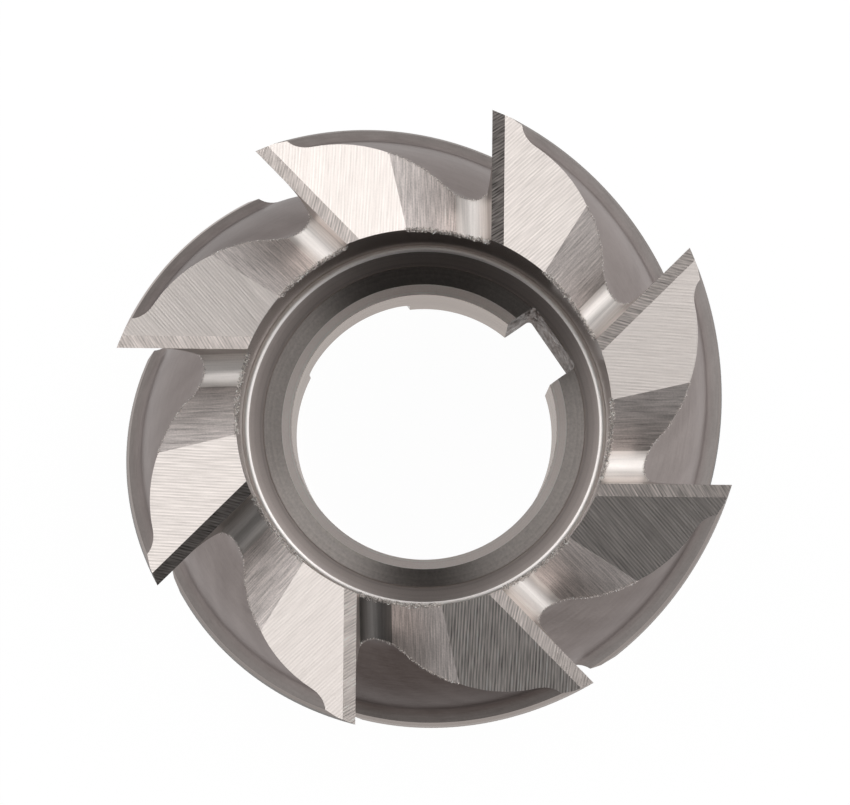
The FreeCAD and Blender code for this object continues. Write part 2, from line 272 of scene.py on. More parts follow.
@dataclass
class CutShape:
    """A closed mesh in the making, whose faces know their surface, their lay and their smooth normals."""

    name: str
    smooth_turn: float = math.radians(10)
    corners: np.ndarray | None = None
    faces: list[tuple[int, ...]] = field(default_factory=list)
    surfaces: list[Surface] = field(default_factory=list)
    lays: list[tuple[float, float]] = field(default_factory=list)
    normals: list[Triple] = field(default_factory=list)

    def sweep(self, rings: np.ndarray, outline: Outline, reach: list[float], closed: bool) -> None:
        """Join rings of points that all follow one outline.

        Args:
            rings: The outline's points at each step, three coordinates each.
            outline: The outline, which gives each strip its surface.
            reach: Distance along the sweep at each step.
            closed: True if the last ring meets the first one.
        """
        count = len(outline.points)
        around = [0.0]
        for i in range(count):
            step = outline.points[(i + 1) % count] - outline.points[i]
            around.append(around[-1] + float(np.linalg.norm(step)))
        ahead_normals, behind_normals = self.strip_normals(rings, closed)
        self.corners = rings.reshape(-1, 3)
        last = len(rings) if closed else len(rings) - 1
        for j in range(last):
            ahead = (j + 1) % len(rings)
            for i in range(count):
                following = (i + 1) % count
                self.faces.append((j * count + i, ahead * count + i, ahead * count + following,
                                   j * count + following))
                self.surfaces.append(outline.surfaces[i])
                self.lays += [(reach[j], around[i]), (reach[j + 1], around[i]),
                              (reach[j + 1], around[i + 1]), (reach[j], around[i + 1])]
                self.normals += [ahead_normals[j, i], ahead_normals[ahead, i],
                                 behind_normals[ahead, following], behind_normals[j, following]]
        if not closed:
            for start, order in ((0, 1), ((len(rings) - 1) * count, -1)):
                self.faces.append(tuple(range(start, start + count))[::order])
                self.surfaces.append(Surface.BLANK)
                self.lays += [(0.0, 0.0)] * count
                self.normals += [(0.0, 0.0, 0.0)] * count

    def strip_normals(self, rings: np.ndarray, closed: bool) -> tuple[np.ndarray, np.ndarray]:
        """Work out the normals at each point, for the strip ahead of it and for the strip behind it.

        Args:
            rings: The outline's points at each step.
            closed: True if the last ring meets the first one.

        Returns:
            Two arrays of unit vectors, which agree where the outline runs on smoothly.
        """
        edges = np.roll(rings, -1, axis=1) - rings
        if closed:
            along = np.roll(rings, -1, axis=0) - np.roll(rings, 1, axis=0)
        else:
            along = np.gradient(rings, axis=0)
        ahead = np.cross(edges, along)
        behind = np.cross(np.roll(edges, 1, axis=1), along)
        ahead /= np.linalg.norm(ahead, axis=2, keepdims=True)
        behind /= np.linalg.norm(behind, axis=2, keepdims=True)
        smooth = np.sum(ahead * behind, axis=2, keepdims=True) > math.cos(self.smooth_turn)
        shared = ahead + behind
        shared /= np.maximum(np.linalg.norm(shared, axis=2, keepdims=True), TINY)
        return np.where(smooth, shared, ahead), np.where(smooth, shared, behind)

    def build(self) -> Object:
        """Return the mesh as an object with its face and corner attributes, its faces outwards."""
        mesh = bpy.data.meshes.new(self.name)
        mesh.from_pydata(self.corners.tolist(), [], self.faces)
        store(mesh, "surface", "INT", "FACE", [int(surface) for surface in self.surfaces])
        mesh.uv_layers.new(name="Lay").data.foreach_set("uv", (np.array(self.lays) / MM).ravel())
        store(mesh, "smooth", "FLOAT_VECTOR", "CORNER", np.array(self.normals).ravel())
        work = bmesh.new()
        work.from_mesh(mesh)
        bmesh.ops.recalc_face_normals(work, faces=work.faces)
        work.to_mesh(mesh)
        work.free()
        return linked(self.name, mesh)


@dataclass(frozen=True)
class Blank:
    """The turned blank with its recess, screw seat and bore."""

    sizes: CutterSizes
    facets: int = 240
    fillet_pieces: int = 10
    ring_pieces: int = 5

    def outline(self) -> Outline:
        """Return the half section, as radius and height.

        The seat of the screw head is faced flat. Around it a fine groove and a ring, which rises a
        little towards the wall, are left from the turning.
        """
        s = self.sizes
        outside, top = s.outer_radius + s.stock, s.length + s.stock
        floor = s.length - s.recess_depth
        fillet = s.recess_radius - s.recess_fillet
        ring_inner = s.seat_radius + s.seat_groove
        ring_outer = fillet + s.recess_fillet * math.sin(s.ring_slope)
        rise = (ring_outer - ring_inner) * math.tan(s.ring_slope) / 2
        centre = np.array((fillet, floor + rise + s.recess_fillet * math.cos(s.ring_slope)))
        line = Outline((s.bore_radius + s.back_chamfer, 0.0))
        line.line((outside, 0.0), Surface.BACK_FACE)
        line.line((outside, top), Surface.BLANK)
        line.line((s.recess_radius, top), Surface.BLANK)
        line.line((s.recess_radius, centre[1]), Surface.RECESS_WALL)
        line.arc(centre, s.ring_slope - math.pi / 2, Surface.RECESS_FILLET, self.fillet_pieces)
        for step in range(self.ring_pieces - 1, -1, -1):
            share = step / self.ring_pieces
            line.line((ring_inner + (ring_outer - ring_inner) * share, floor + rise * share ** 2),
                      Surface.RECESS_FLOOR)
        line.line((s.seat_radius + s.seat_groove / 2, floor - s.seat_groove / 2), Surface.RECESS_FLOOR)
        line.line((s.seat_radius, floor), Surface.RECESS_FLOOR)
        line.line((s.bore_radius + s.mouth_chamfer, floor), Surface.SCREW_SEAT)
        line.line((s.bore_radius, floor - s.mouth_chamfer), Surface.BORE_CHAMFER)
        line.line((s.bore_radius, s.back_chamfer), Surface.BORE)
        line.close(Surface.BACK_FACE)
        return line

    def build(self) -> Object:
        """Turn the section about the axis."""
        line = self.outline()
        angles = 2 * math.pi * np.arange(self.facets + 1) / self.facets
        radius, height = np.array(line.points).T
        rings = np.array([np.column_stack((radius * math.cos(angle), radius * math.sin(angle), height))
                          for angle in angles[:-1]])
        shape = CutShape("turned_blank")
        shape.sweep(rings, line, list(angles * self.sizes.recess_radius), closed=True)
        return shape.build()


@dataclass(frozen=True)
class StraightCut:
    """A prism that is taken from the blank, swept along a straight way."""

    name: str
    line: Outline
    origin: Vector
    along: Vector
    up: Vector
    way: Vector

    def build(self) -> Object:
        """Sweep the outline from its plane along the way."""
        section = np.array(self.line.points)
        sideways, upwards = section[:, :1] * np.array(self.along), section[:, 1:] * np.array(self.up)
        plane = np.array(self.origin) + sideways + upwards
        shape = CutShape(self.name)
        shape.sweep(np.array([plane, plane + np.array(self.way)]), self.line, [0.0, self.way.length],
                    closed=False)
        return shape.build()


@dataclass(frozen=True)
class EndTeethCuts:
    """The relief of one end cutting edge and the gash before it."""

    sizes: CutterSizes
    fillet_pieces: int = 18

    def axes(self) -> tuple[Vector, Vector, Vector]:
        """Return the directions along the edge, across it and up."""
        turn = self.sizes.edge_turn
        outward = Vector((math.cos(turn), math.sin(turn), 0))
        return outward, Vector((-outward.y, outward.x, 0)), Vector((0, 0, 1))

    def relief(self) -> Object:
        """Cut the narrow land along the edge and the end face behind it."""
        s = self.sizes
        edge = -s.face_offset
        drop = s.end_margin_width * math.tan(s.end_margin_relief)
        inner = math.asin(s.face_offset / s.recess_radius) + s.pitch
        reach = s.recess_radius * math.sin(inner) - s.face_offset - s.end_margin_width / 2
        far_drop = drop + (reach - s.end_margin_width) * math.tan(s.end_land_relief)
        top = s.length + s.overrun
        line = Outline((edge + s.run_on, top))
        line.line((edge - reach, top), Surface.BLANK)
        line.line((edge - reach, s.length - far_drop), Surface.BLANK)
        line.line((edge - s.end_margin_width, s.length - drop), Surface.END_FACET)
        line.line((edge + s.run_on, s.length + s.run_on * math.tan(s.end_margin_relief)),
                  Surface.END_MARGIN)
        line.close(Surface.BLANK)
        outward, across, up = self.axes()
        return StraightCut("end_relief", line, Vector((0, 0, 0)), across, up,
                           outward * s.clear_radius).build()

    def gash(self) -> Object:
        """Cut the gash, whose face holds the edge and whose bottom falls outwards."""
        s = self.sizes
        edge, fall = -s.face_offset, math.tan(s.gash_slope)
        lean = math.tan(s.gash_lean)
        inner = math.sqrt(s.recess_radius ** 2 - s.face_offset ** 2)
        depth = s.gash_depth - inner * fall
        rise = s.clear_radius * fall + s.overrun
        corner = (edge + depth * lean, s.length - depth)
        face_top = (edge - rise * lean, s.length + rise)
        flank_top = (corner[0] + (depth + rise) / math.tan(s.gash_flank), s.length + rise)
        line = Outline(flank_top)
        line.rounded(corner, face_top, s.gash_radius, Surface.GASH_FLANK, Surface.GASH_FILLET,
                     self.fillet_pieces)
        line.line(face_top, Surface.GASH_FACE)
        line.close(Surface.BLANK)
        outward, across, up = self.axes()
        way = (outward + across * fall * lean - up * fall) * s.clear_radius
        return StraightCut("end_gash", line, Vector((0, 0, 0)), across, up, way).build()


@dataclass(frozen=True)
class ArborCuts:
    """The cuts that the arbor's keys run in."""

    sizes: CutterSizes
    corner_pieces: int = 12

    def channel(self, half: float, floor: float, mouth: float, corner: float, surface: Surface) -> Outline:
        """Return the section of a channel with round inner corners.

        Args:
            half: Half of its width.
            floor: Where its floor lies.
            mouth: Where it opens.
            corner: Radius of the corners.
            surface: What it sweeps.

        Returns:
            The closed outline.
        """
        line = Outline((-half, mouth))
        line.line((half, mouth), surface)
        line.rounded((half, floor), (-half, floor), corner, surface, surface, self.corner_pieces)
        line.rounded((-half, floor), (-half, mouth), corner, surface, surface, self.corner_pieces)
        line.close(surface)
        return line

    def keyway(self) -> Object:
        """Cut the keyway along the bore, at the side of +Y."""
        s = self.sizes
        line = self.channel(s.keyway_width / 2, s.bore_radius + s.keyway_depth, 0.0, s.keyway_corner,
                            Surface.KEYWAY)
        return StraightCut("keyway_cut", line, Vector((0, 0, -s.overrun)), Vector((1, 0, 0)),
                           Vector((0, 1, 0)), Vector((0, 0, s.length + 2 * s.overrun))).build()

    def slot(self) -> Object:
        """Cut the drive slot across the back face, along X."""
        s = self.sizes
        line = self.channel(s.slot_width / 2, s.slot_depth, -s.overrun, s.slot_corner, Surface.DRIVE_SLOT)
        return StraightCut("slot_cut", line, Vector((-s.clear_radius, 0, 0)), Vector((0, 1, 0)),
                           Vector((0, 0, 1)), Vector((2 * s.clear_radius, 0, 0))).build()


@dataclass(frozen=True)
class FluteCut:
    """One helical flute with the lands of the tooth behind it."""

    sizes: CutterSizes
    steps: int = 48
    margin_pieces: int = 2
    face_pieces: int = 4
    heel_pieces: int = 7
    back_pieces: int = 14
    root_pieces: int = 15
    rim_pieces: int = 6

    def outline(self) -> Outline:
        """Return the section square to the axis, with the tip of the tooth behind it on the x axis."""
        s = self.sizes
        tip = np.array([s.outer_radius, 0.0])
        back = np.array([math.sin(s.margin_relief), math.cos(s.margin_relief)])
        margin_end = tip - s.margin_width * back
        heel = margin_end - s.land_width * np.array([math.sin(s.land_relief), math.cos(s.land_relief)])
        hollow = heel + s.heel_radius * np.array([math.sin(s.heel_angle), -math.cos(s.heel_angle)])
        face_turn = s.pitch - s.rake
        root_up = s.root_radius - s.face_offset
        root_along = math.sqrt((s.core_radius + s.root_radius) ** 2 - root_up ** 2)
        root = turned(np.array([root_along, root_up]), face_turn)
        crown = self.apex(hollow, s.heel_radius + s.back_radius, root, s.root_radius + s.back_radius)
        foot = root + s.root_radius * np.array([math.cos(-math.pi / 2 - face_turn),
                                                math.sin(-math.pi / 2 - face_turn)])
        out_along = math.sqrt(s.clear_radius ** 2 - s.face_offset ** 2)
        face_out = turned(np.array([out_along, -s.face_offset]), face_turn)
        start = tip + s.run_on * back
        rim_end = np.array([math.sqrt(s.clear_radius ** 2 - start[1] ** 2), start[1]])
        full = 2 * math.pi
        line = Outline(start)
        line.line(margin_end, Surface.MARGIN, self.margin_pieces)
        line.line(heel, Surface.SECOND_LAND)
        line.arc(hollow, (bearing(hollow, crown) - bearing(hollow, heel)) % full, Surface.FLUTE,
                 self.heel_pieces)
        line.arc(crown, -((bearing(crown, hollow) - bearing(crown, root)) % full), Surface.FLUTE,
                 self.back_pieces)
        line.arc(root, (bearing(root, foot) - bearing(root, crown)) % full, Surface.FLUTE, self.root_pieces)
        line.line(face_out, Surface.TOOTH_FACE, self.face_pieces)
        zero = np.zeros(2)
        line.arc(zero, (bearing(zero, rim_end) - bearing(zero, face_out)) % full, Surface.BLANK,
                 self.rim_pieces)
        line.close(Surface.BLANK)
        return line

    @staticmethod
    def apex(first: np.ndarray, first_reach: float, second: np.ndarray, second_reach: float) -> np.ndarray:
        """Return the corner, to the right of the way from first to second, of a triangle of given sides."""
        base = second - first
        length = float(np.linalg.norm(base))
        along = (first_reach ** 2 - second_reach ** 2 + length ** 2) / (2 * length)
        away = math.sqrt(first_reach ** 2 - along ** 2)
        way = base / length
        return first + way * along + np.array([way[1], -way[0]]) * away

    def build(self) -> Object:
        """Sweep the section along the axis while it turns with the helix."""
        s = self.sizes
        line = self.outline()
        rings, reach = [], []
        for height in np.linspace(-s.overrun, s.length + s.overrun, self.steps + 1):
            turn = s.tooth_phase + (height - s.length) * s.twist
            rings.append([np.append(turned(point, -turn), height) for point in line.points])
            reach.append((height + s.overrun) / math.cos(s.helix))
        shape = CutShape("flute_cut")
        shape.sweep(np.array(rings), line, reach, closed=False)
        return shape.build()


class Nodes:
    """Adds nodes to a tree and wires them."""

    def __init__(self, tree: bpy.types.NodeTree) -> None:
        """Take the tree that is to be filled."""
        self.tree = tree

    def add(self, kind: str, inputs: dict[str | int, object] | None = None,
            **settings: object) -> bpy.types.Node:
        """Add a node.

        Args:
            kind: Blender's name of the node type.
            inputs: Values or source sockets of its inputs.
            **settings: Properties of the node.

        Returns:
            The node.
        """
        made = self.tree.nodes.new(kind)
        for name, value in settings.items():
            setattr(made, name, value)
        for key, value in (inputs or {}).items():
            if isinstance(value, Socket):
                self.tree.links.new(value, made.inputs[key])
            else:
                made.inputs[key].default_value = value
        return made

    def put(self, kind: str, inputs: dict[str | int, object] | None = None, **settings: object) -> Socket:
        """Add a node and return its first output."""
        return self.add(kind, inputs, **settings).outputs[0]

    def math(self, operation: str, first: object, second: object = 0.0) -> Socket:
        """Add a Math node and return its result."""
        return self.put("ShaderNodeMath", {0: first, 1: second}, operation=operation)

    def vector(self, operation: str, first: object, second: object) -> Socket:
        """Add a Vector Math node and return its result."""
        return self.put("ShaderNodeVectorMath", {0: first, 1: second}, operation=operation)

    def plus(self, base: object, value: object, amount: object) -> Socket:
        """Return a base plus a value times an amount."""
        return self.math("ADD", base, self.math("MULTIPLY", value, amount))

    def scaled(self, vector: object, scale: Socket) -> Socket:
        """Return a vector times a number."""
        return self.put("ShaderNodeVectorMath", {0: vector, "Scale": scale}, operation="SCALE")

    def shaded(self, color: Triple, shade: Socket) -> Socket:
        """Return a colour times a shade, nowhere lighter than white."""
        return self.vector("MINIMUM", self.scaled(color, shade), (1.0, 1.0, 1.0))

    def attribute(self, name: str) -> Socket:
        """Return a number that each face of the mesh holds."""
        return self.add("ShaderNodeAttribute", attribute_name=name).outputs["Fac"]

    def noise(self, place: Socket, scale: float, detail: float, roughness: float = 0.5) -> Socket:
        """Return a noise as a value between about -1 and 1."""
        middle, gain = 0.5, 4.0
        found = self.put("ShaderNodeTexNoise", {"Vector": place, "Scale": scale, "Detail": detail,
                                                "Roughness": roughness})
        return self.math("MULTIPLY", self.math("SUBTRACT", found, middle), gain)


class GeometryTree(Nodes):
    """A Geometry Nodes tree in the making."""

    def __init__(self, name: str, inputs: dict[str, str]) -> None:
        """Start a tree.

        Args:
            name: Name of the tree.
            inputs: Name and socket type of each input but the geometry.
        """
        super().__init__(bpy.data.node_groups.new(name, "GeometryNodeTree"))
        self.tree.is_modifier = True
        face = self.tree.interface
        face.new_socket(name="Geometry", in_out="INPUT", socket_type="NodeSocketGeometry")
        self.keys = {label: face.new_socket(name=label, in_out="INPUT", socket_type=kind).identifier
                     for label, kind in inputs.items()}
        face.new_socket(name="Geometry", in_out="OUTPUT", socket_type="NodeSocketGeometry")
        self.start = self.tree.nodes.new("NodeGroupInput").outputs
        self.end = self.tree.nodes.new("NodeGroupOutput").inputs

    def random(self, low: object, high: object, seed: int | Socket) -> Socket:
        """Return a random vector between two others, or a random number between two numbers."""
        kind, first, result = ("FLOAT_VECTOR", 0, 0) if isinstance(low, tuple) else ("FLOAT", 2, 1)
        limits = {first: low, first + 1: high, "Seed": seed}
        return self.add("FunctionNodeRandomValue", limits, data_type=kind).outputs[result]

    def apply(self, piece: Object, values: dict[str, object]) -> Mesh:
        """Run the tree on an object.

        Args:
            piece: The object that gets the modifier for a while.
            values: Value of each named input.

        Returns:
            The result as a plain mesh.
        """
        modifier = piece.modifiers.new(self.tree.name, "NODES")
        modifier.node_group = self.tree
        for label, value in values.items():
            modifier[self.keys[label]] = value
        ready = piece.evaluated_get(bpy.context.evaluated_depsgraph_get())
        mesh = bpy.data.meshes.new_from_object(ready)
        piece.modifiers.remove(modifier)
        return mesh


@dataclass(frozen=True)
class MachinedSteel:
    """High-speed steel as one cut leaves it: bare metal with lines that run one way.

    Pitches and the size of the grain are in millimetres, as the Lay map is. The scale of the patches is for
    one metre.
    """

    name: str
    color: Triple
    roughness: float = 0.3
    spread: float = 0.02
    anisotropy: float = 0.4
    turn: float = 0.0
    edge_tint: Triple = (1.0, 1.0, 1.0)
    broad_pitch: float = 0.8
    broad_shade: float = 0.03
    broad_slope: float = 0.004
    fine_pitch: float = 0.17
    fine_shade: float = 0.06
    fine_slope: float = 0.006
    regular: float = 0.0
    feed: float = 0.21
    stretch: float = 30.0
    patches: float = 0.05
    grain: float = 0.03
    grain_size: float = 0.12
    round_axis: bool = False
    broad_detail: float = 2.0
    fine_detail: float = 1.5
    line_roughness: float = 0.6
    patch_scale: float = 180.0
    patch_detail: float = 3.0
    grain_detail: float = 1.0
    tooth_shift: float = 7.3
    least_shade: float = 0.1

    def build(self) -> bpy.types.Material:
        """Return the material."""
        material = bpy.data.materials.new(self.name)
        material.use_nodes = True
        nodes = Nodes(material.node_tree)
        shader = material.node_tree.nodes["Principled BSDF"]
        shader.inputs["Metallic"].default_value = 1.0
        shader.inputs["Anisotropic"].default_value = self.anisotropy
        shader.inputs["Anisotropic Rotation"].default_value = (self.turn + math.pi / 2) / (2 * math.pi) % 1
        along = self.lay(nodes)
        broad = self.lines(nodes, along, self.broad_pitch, self.broad_detail)
        fine = self.lines(nodes, along, self.fine_pitch, self.fine_detail)
        if self.regular:
            fine = nodes.plus(nodes.math("MULTIPLY", fine, 1 - self.regular),
                              self.feed_marks(nodes, along, broad), self.regular)
        place = nodes.add("ShaderNodeTexCoord").outputs["Object"]
        patch = nodes.noise(place, self.patch_scale, self.patch_detail)
        grit = nodes.noise(place, 1 / (self.grain_size * MM), self.grain_detail)
        # The marks set how strongly the real lines show at each tooth, which paints in part of the
        # reflections.
        marked = nodes.math("MULTIPLY", fine, nodes.attribute("marks"))
        shade = 1.0
        for texture, amount in ((broad, self.broad_shade), (marked, self.fine_shade),
                                (patch, self.patches / 2), (grit, self.grain)):
            shade = nodes.plus(shade, texture, amount)
        shade = nodes.math("MAXIMUM", shade, self.least_shade)
        # On the cutter the tone is a painted reflection per tooth; on the burrs it is a tone that differs at
        # random.
        shade = nodes.math("MULTIPLY", shade, nodes.attribute("tone"))
        heights = nodes.plus(nodes.math("MULTIPLY", broad, self.broad_slope * self.broad_pitch * MM),
                             fine, self.fine_slope * self.fine_pitch * MM)
        sources = {
            "Base Color": nodes.shaded(self.color, shade),
            "Specular Tint": nodes.shaded(self.edge_tint, shade),
            "Roughness": nodes.plus(self.roughness, broad, self.spread),
            "Normal": nodes.put("ShaderNodeBump", {"Height": heights, "Distance": 1.0, "Strength": 1.0}),
            "Tangent": nodes.put("ShaderNodeTangent", direction_type="UV_MAP", uv_map="Lay"),
        }
        for socket, source in sources.items():
            material.node_tree.links.new(source, shader.inputs[socket])
        return material

    def lay(self, nodes: Nodes) -> Socket:
        """Return coordinates whose second one runs across the lines.

        The lay of a cut has its own depth in the noise for each tooth, so that no two teeth look alike.
        """
        if self.round_axis:
            place = nodes.add("ShaderNodeTexCoord").outputs["Object"]
            flat = nodes.vector("MULTIPLY", place, (1 / MM, 1 / MM, 0))
            height = nodes.vector("MULTIPLY", place, (0, 0, 1 / MM))
            radius = nodes.add("ShaderNodeVectorMath", {0: flat}, operation="LENGTH").outputs["Value"]
            return nodes.vector("ADD", height, nodes.put("ShaderNodeCombineXYZ", {"Y": radius}))
        lay = nodes.put("ShaderNodeUVMap", uv_map="Lay")
        turned_lay = nodes.put("ShaderNodeMapping", {"Vector": lay, "Rotation": (0, 0, -self.turn)})
        depth = nodes.math("MULTIPLY", nodes.attribute("tooth"), self.tooth_shift)
        return nodes.vector("ADD", turned_lay, nodes.put("ShaderNodeCombineXYZ", {"Z": depth}))

    def lines(self, nodes: Nodes, along: Socket, pitch: float, detail: float) -> Socket:
        """Return lines of a pitch as a value between about -1 and 1."""
        place = nodes.vector("MULTIPLY", along, (1 / (pitch * self.stretch), 1 / pitch, 1.0))
        return nodes.noise(place, 1.0, detail, self.line_roughness)

    def feed_marks(self, nodes: Nodes, along: Socket, drift: Socket) -> Socket:
        """Return the marks of the wheel's even feed, which wander with a drift, between -1 and 1."""
        across = nodes.add("ShaderNodeSeparateXYZ", {0: along}).outputs["Y"]
        phase = nodes.math("ADD", nodes.math("MULTIPLY", across, 2 * math.pi / self.feed), drift)
        return nodes.math("SINE", phase)


def finishes() -> dict[Surface, MachinedSteel]:
    """Return the finish of each surface of the cutter."""
    hatch, facet_hatch = math.radians(-58), math.radians(-49)
    plain = {"broad_shade": 0.01, "fine_shade": 0.02, "broad_slope": 0.001, "fine_slope": 0.002}
    turning = {"round_axis": True, "broad_slope": 0.002, "fine_slope": 0.004}
    # The flutes are far darker than bare steel in colour and edge tint: painted shade, so they reflect less
    # of the white floor. Their patches and grain are real.
    grinding_and_painted_shade = {"color": (0.26, 0.243, 0.233), "edge_tint": (0.62, 0.566, 0.556), "broad_slope": 0.002,
                "fine_slope": 0.008, "patches": 0.12, "grain": 0.06, "grain_size": 0.2}
    bare = (0.5, 0.47, 0.45)
    return {
        Surface.BACK_FACE: MachinedSteel("ground_back_face", bare, **turning),
        Surface.BLANK: MachinedSteel("turned_blank", bare, **turning),
        Surface.RECESS_WALL: MachinedSteel(
            "turned_recess", (0.42, 0.385, 0.365), 0.13, edge_tint=(0.62, 0.58, 0.56), **turning),
        # The recess's corner is near white, lighter than bare steel, which paints in part of its ring's
        # highlight.
        Surface.RECESS_FILLET: MachinedSteel(
            "turned_recess_corner_painted_highlight", (1.0, 0.95, 0.92), 0.42, anisotropy=0.0, **turning),
        Surface.RECESS_FLOOR: MachinedSteel(
            "turned_recess_floor", (0.515, 0.455, 0.43), 0.38, anisotropy=0.7, round_axis=True,
            broad_shade=0.06, fine_shade=0.12),
        Surface.SCREW_SEAT: MachinedSteel(
            "faced_screw_seat", (0.54, 0.5, 0.475), 0.34, anisotropy=0.98, round_axis=True, fine_shade=0.1,
            grain=0.1, grain_size=0.2),
        # Both chamfers of the bore are near white, lighter than bare steel: a painted highlight.
        Surface.BORE_CHAMFER: MachinedSteel(
            "turned_chamfer_painted_highlight", (1.0, 0.94, 0.91), 0.7, anisotropy=0.0, **turning),
        Surface.BORE: MachinedSteel(
            "ground_bore", (0.33, 0.3, 0.28), 0.25, edge_tint=(0.7, 0.635, 0.595), **turning),
        Surface.KEYWAY: MachinedSteel(
            "broached_keyway", (0.24, 0.215, 0.205), 0.35, edge_tint=(0.31, 0.28, 0.265), spread=0.12,
            broad_slope=0.2, fine_shade=0.25, fine_slope=0.12, stretch=6.0, patches=0.4, grain=0.3,
            grain_size=0.3),
        Surface.DRIVE_SLOT: MachinedSteel("milled_drive_slot", bare, 0.35),
        Surface.MARGIN: MachinedSteel(
            "ground_margin", (0.34, 0.3, 0.28), 0.25, edge_tint=(0.3, 0.27, 0.255), **plain),
        Surface.SECOND_LAND: MachinedSteel(
            "ground_second_land", (0.4, 0.37, 0.355), edge_tint=(0.5, 0.46, 0.44), **plain),
        Surface.FLUTE: MachinedSteel("ground_flute", **grinding_and_painted_shade),
        Surface.TOOTH_FACE: MachinedSteel("ground_tooth_face", **grinding_and_painted_shade),
        Surface.END_MARGIN: MachinedSteel(
            "ground_end_margin", (0.57, 0.515, 0.485), 0.42, anisotropy=0.8, turn=hatch, broad_shade=0.1,
            fine_pitch=0.12, fine_shade=0.42, fine_slope=0.02, regular=0.3, feed=0.23, stretch=12.0),
        Surface.END_FACET: MachinedSteel(
            "ground_end_facet", (0.615, 0.565, 0.535), anisotropy=0.7, turn=facet_hatch, broad_shade=0.015,
            broad_slope=0.001, fine_pitch=0.13, fine_shade=0.07, fine_slope=0.018, regular=0.4, feed=0.25,
            stretch=16.0),
        Surface.GASH_FLANK: MachinedSteel(
            "ground_gash_flank", (0.66, 0.6, 0.575), 0.38, broad_shade=0.06, fine_pitch=0.14,
            fine_shade=0.33, fine_slope=0.01, stretch=16.0, grain=0.12),
        # The gash bottom is lighter than bare steel, which paints in part of its highlight.
        Surface.GASH_FILLET: MachinedSteel(
            "ground_gash_bottom_painted_highlight", (0.86, 0.81, 0.775), 0.45, broad_shade=0.04, fine_shade=0.12),
        Surface.GASH_FACE: MachinedSteel("ground_gash_face", (0.64, 0.58, 0.55)),
    }


@dataclass(frozen=True)
class ToothRing:
    """Takes the arbor cuts once, and the cuts of a tooth all around the blank."""

    sizes: CutterSizes
    repeated: tuple[str, ...] = ("Flute", "Relief", "Gash")

    def tree(self, materials: dict[Surface, bpy.types.Material], shapes: list[str]) -> GeometryTree:
        """Build the tree.

        Args:
            materials: The material of each surface.
            shapes: Names of the cuts, which become inputs.

        Returns:
            The tree, with the cuts and the number of teeth as inputs.
        """
        tree = GeometryTree("ring_of_teeth", {"Teeth": "NodeSocketInt",
                                              **{name: "NodeSocketObject" for name in shapes}})
        index = tree.put("GeometryNodeInputIndex")
        turn = tree.math("MULTIPLY", index, tree.math("DIVIDE", 2 * math.pi, tree.start["Teeth"]))
        rotation = tree.put("ShaderNodeCombineXYZ", {"Z": turn})
        spots = tree.put("GeometryNodePoints", {"Count": tree.start["Teeth"]})
        cutter = tree.add("GeometryNodeMeshBoolean", {0: tree.start["Geometry"]}, operation="DIFFERENCE",
                          solver="EXACT")
        for name in shapes:
            cut = tree.add("GeometryNodeObjectInfo", {"Object": tree.start[name]}).outputs["Geometry"]
            if name in self.repeated:
                cut = tree.put("GeometryNodeInstanceOnPoints",
                               {"Points": spots, "Instance": cut, "Rotation": rotation})
            tree.tree.links.new(cut, cutter.inputs[1])
        result = tree.put("GeometryNodeRealizeInstances", {0: cutter.outputs[0]})
        made_by = tree.put("GeometryNodeInputNamedAttribute", {"Name": "surface"}, data_type="INT")
        for surface, material in materials.items():
            same = tree.put("FunctionNodeCompare", {2: made_by, 3: int(surface)}, data_type="INT",
                            operation="EQUAL")
            result = tree.put("GeometryNodeSetMaterial",
                              {"Geometry": result, "Selection": same, "Material": material})
        tree.tree.links.new(result, tree.end[0])
        return tree


